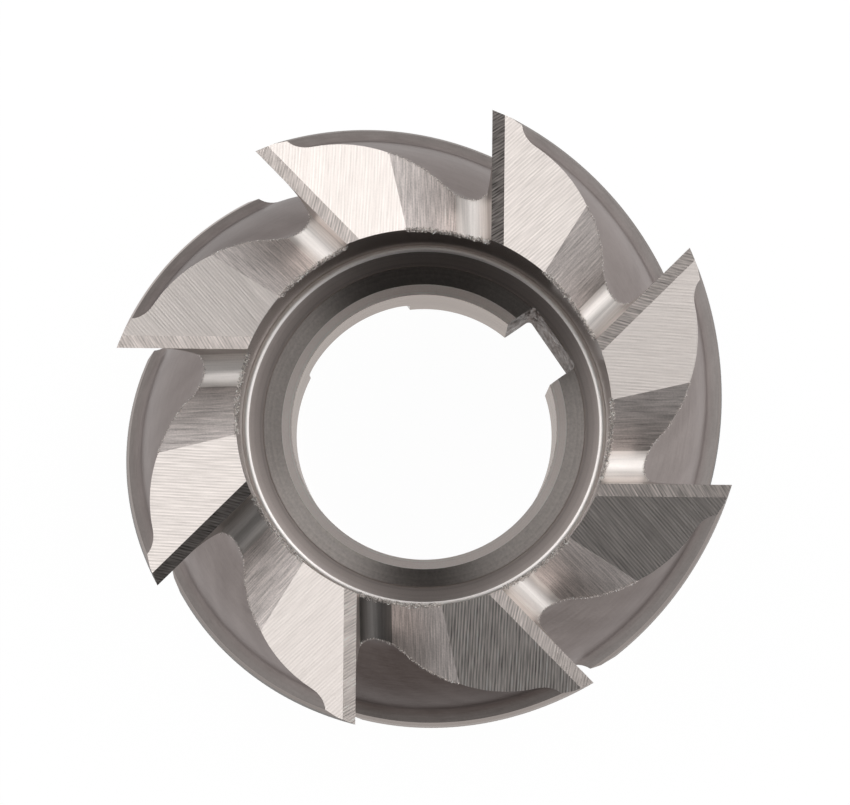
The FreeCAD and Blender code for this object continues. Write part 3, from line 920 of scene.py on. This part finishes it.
@dataclass(frozen=True)
class Burrs:
    """The ragged fringe that the gashes leave where they break out into another surface."""

    name: str
    opened: Surface
    size: float
    scatter: float
    rows: int = 5
    spacing: float = 0.08 * MM
    seed: int = 4
    turn_seed: int = 1
    size_seed: int = 2
    tone_seed: int = 3
    cut: tuple[Surface, ...] = (Surface.GASH_FLANK, Surface.GASH_FILLET)
    most_turn: float = 6.28
    least_flake: Triple = (0.1, 0.1, 0.4)
    most_flake: Triple = (0.35, 0.35, 1.4)
    darkest: float = 0.4
    lightest: float = 1.25
    # Lighter than bare steel, which paints a glint onto the flakes; their tone also differs at random.
    color: Triple = (0.9, 0.84, 0.8)
    roughness: float = 0.55

    def mark_edges(self, mesh: Mesh) -> None:
        """Mark the edges that have burrs.

        Args:
            mesh: The cutter's mesh, whose faces know their surface.
        """
        work = bmesh.new()
        work.from_mesh(mesh)
        surface = work.faces.layers.int["surface"]
        marks = []
        for edge in work.edges:
            sides = {face[surface] for face in edge.link_faces}
            marks.append(bool(sides & set(self.cut)) and self.opened in sides)
        work.free()
        store(mesh, "burred", "BOOLEAN", "EDGE", marks)

    def tree(self) -> GeometryTree:
        """Build the tree that follows the marked edges with small flakes."""
        tree = GeometryTree("burrs", {"Spacing": "NodeSocketFloat", "Rows": "NodeSocketInt",
                                      "Size": "NodeSocketFloat", "Scatter": "NodeSocketFloat",
                                      "Seed": "NodeSocketInt", "Finish": "NodeSocketMaterial"})
        start = tree.start
        marked = tree.put("GeometryNodeInputNamedAttribute", {"Name": "burred"}, data_type="BOOLEAN")
        lines = tree.put("GeometryNodeMeshToCurve", {0: start["Geometry"], 1: marked})
        lines = tree.put("GeometryNodeResampleCurve", {"Curve": lines, "Length": start["Spacing"]},
                         mode="LENGTH")
        lines = tree.put("GeometryNodeDuplicateElements", {"Geometry": lines, "Amount": start["Rows"]},
                         domain="SPLINE")
        offset = tree.scaled(tree.random((-1, -1, -1), (1, 1, 1), start["Seed"]), start["Scatter"])
        spots = tree.put("GeometryNodeSetPosition", {"Geometry": lines, "Offset": offset})
        flake = tree.put("GeometryNodeMeshIcoSphere", {"Radius": start["Size"]})
        turn = tree.random((0, 0, 0), (self.most_turn,) * 3, self.turn_seed)
        size = tree.random(self.least_flake, self.most_flake, self.size_seed)
        tone = tree.random(self.darkest, self.lightest, self.tone_seed)
        flakes = tree.put("GeometryNodeInstanceOnPoints",
                          {"Points": spots, "Instance": flake, "Rotation": turn, "Scale": size})
        flakes = tree.put("GeometryNodeStoreNamedAttribute",
                          {"Geometry": flakes, "Name": "tone", "Value": tone},
                          data_type="FLOAT", domain="INSTANCE")
        flakes = tree.put("GeometryNodeRealizeInstances", {0: flakes})
        dressed = tree.put("GeometryNodeSetMaterial", {"Geometry": flakes, "Material": start["Finish"]})
        tree.tree.links.new(dressed, tree.end[0])
        return tree

    def build(self, cutter: Object) -> Object:
        """Grow the burrs on the cutter's marked edges.

        Args:
            cutter: The finished cutter.

        Returns:
            The burrs as a piece of their own.
        """
        self.mark_edges(cutter.data)
        finish = MachinedSteel(f"torn_steel_with_painted_glint_of_{self.name}", self.color, self.roughness, anisotropy=0.0,
                               round_axis=True).build()
        mesh = self.tree().apply(cutter, {"Spacing": self.spacing, "Rows": self.rows, "Size": self.size,
                                          "Scatter": self.scatter, "Seed": self.seed, "Finish": finish})
        cutter.data.attributes.remove(cutter.data.attributes["burred"])
        mesh.name = self.name
        LOG.info("%s: %d faces", self.name, len(mesh.polygons))
        return linked(self.name, mesh)


@dataclass(frozen=True)
class Cutter:
    """The whole cutter: the blank, its cuts and their finishes.

    The slack is the part of a pitch by which a face may lie past its edge. A smooth normal is kept where its
    cosine with the normal of its face reaches the agreement.
    """

    sizes: CutterSizes
    slack: float = 0.05
    agreement: float = 0.9
    least_length: float = 0.5

    @staticmethod
    def painted_reflections() -> dict[Surface, tuple[float, ...]]:
        """Return the painted reflections: how light a surface is painted at each tooth, where teeth differ.

        The tones and the marks were fitted to the photo's light. They stand in for reflections of its
        studio, and the real surfaces are most likely alike.
        """
        return {
            Surface.MARGIN: (1.4, 1.2, 0.4, 0.8, 0.8, 0.8, 0.5, 0.7),
            Surface.SECOND_LAND: (1.08, 1.0, 0.94, 0.86, 0.88, 1.26, 1.03, 0.95),
            Surface.END_MARGIN: (1.33, 1.06, 0.98, 0.38, 1.1, 1.15, 0.25, 1.47),
            Surface.END_FACET: (1.16, 1.14, 1.06, 0.92, 1.03, 1.32, 0.87, 1.03),
            Surface.FLUTE: (0.58, 0.9, 1.1, 1.06, 0.93, 0.82, 0.94, 0.94),
            Surface.GASH_FLANK: (1.06, 0.77, 0.85, 1.19, 1.0, 0.88, 1.02, 0.95),
            Surface.GASH_FILLET: (1.1, 1.07, 0.97, 0.92, 0.92, 0.84, 0.58, 0.28),
            Surface.GASH_FACE: (1.5, 1.0, 1.33, 0.9, 1.5, 0.9, 0.8, 1.5),
        }

    @staticmethod
    def marks() -> dict[Surface, tuple[float, ...]]:
        """Return how strongly the real fine lines show at each tooth, their strength a painted reflection.
        """
        return {Surface.END_FACET: (11.0, 6.0, 2.2, 3.5, 2.0, 2.0, 4.0, 2.2),
                Surface.END_MARGIN: (1.0, 1.3, 1.3, 2.4, 1.0, 1.0, 1.7, 1.0)}

    def build(self, box: tuple[Vector, Vector]) -> Object:
        """Cut the blank and mark its faces.

        Args:
            box: Lowest and highest corner of the CAD part, which the cutter stays in.

        Returns:
            The finished cutter.
        """
        blank = Blank(self.sizes).build()
        keys, ends = ArborCuts(self.sizes), EndTeethCuts(self.sizes)
        cuts = {"Keyway": keys.keyway(), "Drive slot": keys.slot(), "Flute": FluteCut(self.sizes).build(),
                "Relief": ends.relief(), "Gash": ends.gash()}
        materials = {surface: finish.build() for surface, finish in finishes().items()}
        ring = ToothRing(self.sizes).tree(materials, list(cuts))
        mesh = ring.apply(blank, {"Teeth": self.sizes.teeth, **cuts})
        for tool in (blank, *cuts.values()):
            bpy.data.objects.remove(tool)
        mesh.vertices.foreach_set("co", np.clip(read(mesh.vertices, "co", 3), *box).ravel())
        self.mark(mesh)
        mesh.name = "cutter"
        LOG.info("cutter: %d faces, %d materials", len(mesh.polygons), len(mesh.materials))
        return linked("cutter", mesh)

    def mark(self, mesh: Mesh) -> None:
        """Give each face its tooth, its painted reflection and its marks, and each corner its smooth normal.

        Args:
            mesh: The mesh that the cuts left.
        """
        surface = read(mesh.attributes["surface"].data, "value", kind=int)
        facing = read(mesh.polygons, "normal", 3)
        tooth = self.tooth_of(surface, read(mesh.polygons, "center", 3))
        store(mesh, "tooth", "FLOAT", "FACE", tooth.astype(float))
        # The tone holds the painted reflections; the marks paint in part of them, through the strength of
        # the real lines.
        for label, table in (("tone", self.painted_reflections()), ("marks", self.marks())):
            values = np.ones(len(surface))
            for kind, amounts in table.items():
                same = surface == kind
                values[same] = np.array(amounts)[tooth[same]]
            store(mesh, label, "FLOAT", "FACE", values)
        self.smooth(mesh, np.where(surface >= Surface.MARGIN, tooth, 0), facing)

    def tooth_of(self, surface: np.ndarray, centre: np.ndarray) -> np.ndarray:
        """Find out which tooth each face belongs to.

        Args:
            surface: Surface of each face.
            centre: Centre of each face.

        Returns:
            Number of the tooth, from 0, of each face.
        """
        s = self.sizes
        radius = np.hypot(centre[:, 0], centre[:, 1])
        lead = np.arctan2(centre[:, 1], centre[:, 0]) + np.arcsin(np.clip(s.face_offset / radius, -1, 1))
        from_edge = (lead - s.edge_turn) / s.pitch
        helical = (lead - s.edge_turn - (centre[:, 2] - s.length) * s.twist) / s.pitch
        tooth = np.floor(from_edge + self.slack)
        tooth = np.where(np.isin(surface, (Surface.END_MARGIN, Surface.END_FACET)),
                         np.ceil(from_edge - self.slack), tooth)
        tooth = np.where(np.isin(surface, (Surface.MARGIN, Surface.SECOND_LAND)), np.round(helical), tooth)
        tooth = np.where(surface == Surface.FLUTE, np.ceil(helical - self.slack), tooth)
        tooth = np.where(surface == Surface.TOOTH_FACE, np.round(helical) + 1, tooth)
        return tooth.astype(int) % s.teeth

    def smooth(self, mesh: Mesh, turns: np.ndarray, facing: np.ndarray) -> None:
        """Set the normals of the curved surfaces as the cuts made them.

        Args:
            mesh: The mesh that the cuts left.
            turns: Number of pitches by which each face's cut was turned.
            facing: Normal of each face.
        """
        normals = read(mesh.attributes["smooth"].data, "vector", 3)
        sides = read(mesh.polygons, "loop_total", kind=int)
        face = np.repeat(np.arange(len(sides)), sides)
        angle = turns[face] * self.sizes.pitch
        c, s = np.cos(angle), np.sin(angle)
        normals = np.column_stack((normals[:, 0] * c - normals[:, 1] * s,
                                   normals[:, 0] * s + normals[:, 1] * c, normals[:, 2]))
        length = np.linalg.norm(normals, axis=1, keepdims=True)
        normals /= np.maximum(length, TINY)
        agree = np.sum(normals * facing[face], axis=1, keepdims=True)
        normals *= np.sign(agree)
        bad = (np.abs(agree) < self.agreement) | (length < self.least_length)
        LOG.info("normals: %d of %d corners keep their face's own", int(bad.sum()), len(face))
        normals = np.where(bad, facing[face], normals)
        mesh.attributes.remove(mesh.attributes["smooth"])
        mesh.shade_smooth()
        mesh.normals_split_custom_set(normals)


@dataclass(frozen=True)
class PhotoCamera:
    """The camera of the photograph, above the cutting end and almost on the axis."""

    length: float
    distance: float = 399.9 * MM
    tilt: float = math.radians(2.94)
    keyway_turn: float = math.radians(34.63)
    aside: float = -0.074 * MM
    above: float = 1.0938 * MM
    focal_pixels: float = 5042.8
    photo_width: float = 850.0
    sensor: float = 36.0
    clip_end: float = 10.0

    def matrix(self) -> Matrix:
        """Return where the camera is and how it looks."""
        axis = Vector((0, math.sin(self.tilt), math.cos(self.tilt)))
        right, other = Vector((1, 0, 0)), axis.cross(Vector((1, 0, 0)))
        c, s = math.cos(self.keyway_turn), math.sin(self.keyway_turn)
        turn = Matrix((right * s - other * c, right * c + other * s, axis))
        matrix = turn.to_4x4()
        face_centre = Vector((self.aside, -self.above, -self.distance))
        matrix.translation = Vector((0, 0, self.length)) - turn @ face_centre
        return matrix

    def build(self) -> None:
        """Add the camera and make it the scene's own."""
        data = bpy.data.cameras.new("photo_camera")
        data.sensor_fit = "HORIZONTAL"
        data.sensor_width = self.sensor
        data.lens = self.focal_pixels * self.sensor / self.photo_width
        data.clip_end = self.clip_end
        camera = linked("photo_camera", data)
        camera.matrix_world = self.matrix()
        bpy.context.scene.camera = camera


@dataclass(frozen=True)
class Softbox:
    """A rectangular lamp that looks at the cutter.

    The azimuth is counted in the photograph and the polar angle from the axis, both in degrees.
    """

    name: str
    azimuth: float
    polar: float
    width: float
    height: float
    radiance: float
    distance: float = 0.8

    def build(self, photo_turn: float, target: Vector) -> None:
        """Add the lamp.

        Args:
            photo_turn: Turn of the photograph's frame in the cutter's frame.
            target: What it looks at.
        """
        azimuth = math.radians(self.azimuth) + photo_turn
        polar = math.radians(self.polar)
        way = Vector((math.sin(polar) * math.cos(azimuth), math.sin(polar) * math.sin(azimuth),
                      math.cos(polar)))
        data = bpy.data.lights.new(self.name, "AREA")
        data.shape = "RECTANGLE"
        data.size = self.width
        data.size_y = self.height
        data.energy = self.radiance * math.pi * self.width * self.height
        lamp = linked(self.name, data)
        lamp.location = target + way * self.distance
        lamp.rotation_euler = way.to_track_quat("Z", "Y").to_euler()
        lamp.visible_camera = False


@dataclass(frozen=True)
class Studio:
    """The floor, the soft light and the camera."""

    sizes: CutterSizes
    photo_turn: float = math.radians(55.37)
    floor_size: float = 2.4
    floor_gap: float = 0.1 * MM
    high_light: float = 0.025
    low_light: float = 0.7
    low_height: float = 0.3
    high_height: float = 0.69
    bright_side: float = math.radians(125)
    side_gain: float = 0.3
    floor_glow: float = 0.95
    floor_white: float = 1.03
    floor_color: tuple[float, float, float, float] = (0.8, 0.8, 0.8, 1.0)

    def build(self) -> None:
        """Set up everything around the cutter."""
        self.floor()
        self.world()
        target = Vector((0, 0, self.sizes.length))
        for box in (Softbox("right_softbox", -15, 40, 0.55, 0.55, 1.2),
                    Softbox("upper_softbox", 45, 38, 0.45, 0.45, 2.15),
                    Softbox("left_softbox", 152, 38, 0.88, 0.45, 1.7),
                    Softbox("front_softbox", -136, 38, 0.35, 0.35, 0.2)):
            box.build(self.photo_turn, target)
        PhotoCamera(self.sizes.length).build()
        bpy.context.scene.view_settings.view_transform = "Standard"

    def seen_directly(self, nodes: Nodes) -> Socket:
        """Return 1 for rays that should find the white background."""
        path = nodes.add("ShaderNodeLightPath").outputs
        seen = nodes.math("MAXIMUM", path["Is Camera Ray"], path["Is Glossy Ray"])
        return nodes.math("MAXIMUM", seen, path["Is Transmission Ray"])

    def floor(self) -> None:
        """Add the white floor, which keeps the shadow and can be seen through from below."""
        mesh = bpy.data.meshes.new("floor")
        half, down = self.floor_size / 2, -self.floor_gap
        corners = [(-half, -half, down), (half, -half, down), (half, half, down), (-half, half, down)]
        mesh.from_pydata(corners, [], [tuple(range(len(corners)))])
        material = bpy.data.materials.new("white_floor")
        material.use_nodes = True
        nodes = Nodes(material.node_tree)
        material.node_tree.nodes.clear()
        diffuse = nodes.put("ShaderNodeBsdfDiffuse", {"Color": self.floor_color})
        glow = nodes.put("ShaderNodeEmission", {"Strength": self.floor_white})
        share = nodes.math("MULTIPLY", self.seen_directly(nodes), self.floor_glow)
        mixed = nodes.put("ShaderNodeMixShader", {0: share, 1: diffuse, 2: glow})
        clear = nodes.put("ShaderNodeBsdfTransparent")
        below = nodes.add("ShaderNodeNewGeometry").outputs["Backfacing"]
        mixed = nodes.put("ShaderNodeMixShader", {0: below, 1: mixed, 2: clear})
        nodes.add("ShaderNodeOutputMaterial", {"Surface": mixed})
        mesh.materials.append(material)
        floor = linked("floor", mesh)

    def world(self) -> None:
        """Light the scene from all around, more from low down, behind a white background.

        The low light fades to the high one between two heights of the direction it comes from.
        """
        world = bpy.data.worlds.new("studio")
        bpy.context.scene.world = world
        world.use_nodes = True
        nodes = Nodes(world.node_tree)
        world.node_tree.nodes.clear()
        way = nodes.add("ShaderNodeTexCoord").outputs["Generated"]
        height = nodes.add("ShaderNodeSeparateXYZ", {0: way}).outputs["Z"]
        turn = self.photo_turn + self.bright_side
        side = (math.cos(turn), math.sin(turn), 0)
        leaning = nodes.add("ShaderNodeVectorMath", {0: way, 1: side}, operation="DOT_PRODUCT")
        gain = nodes.plus(1.0, leaning.outputs["Value"], self.side_gain)
        light = nodes.put("ShaderNodeMapRange",
                          {"Value": height, "From Min": self.low_height, "From Max": self.high_height,
                           "To Min": nodes.math("MULTIPLY", gain, self.low_light),
                           "To Max": self.high_light}, interpolation_type="SMOOTHSTEP")
        path = nodes.add("ShaderNodeLightPath").outputs
        strength = nodes.put("ShaderNodeMix", {0: path["Is Camera Ray"], 2: light, 3: 1.0},
                             data_type="FLOAT")
        light = nodes.put("ShaderNodeBackground", {"Color": (1, 1, 1, 1), "Strength": strength})
        nodes.add("ShaderNodeOutputWorld", {"Surface": light})


def main() -> None:
    """Build the cutter and its studio."""
    logging.basicConfig(level=logging.INFO, format="%(name)s: %(message)s")
    sizes = CutterSizes()
    cutter = Cutter(sizes).build(cad_box)
    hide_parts(NODE)
    burrs = [Burrs("recess_burrs", Surface.RECESS_WALL, 0.13 * MM, 0.16 * MM).build(cutter),
             Burrs("flute_burrs", Surface.FLUTE, 0.08 * MM, 0.08 * MM, rows=3).build(cutter)]
    for piece in (cutter, *burrs):
        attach(piece, "root")
    Studio(sizes).build()


if __name__ == "__main__":
    main()
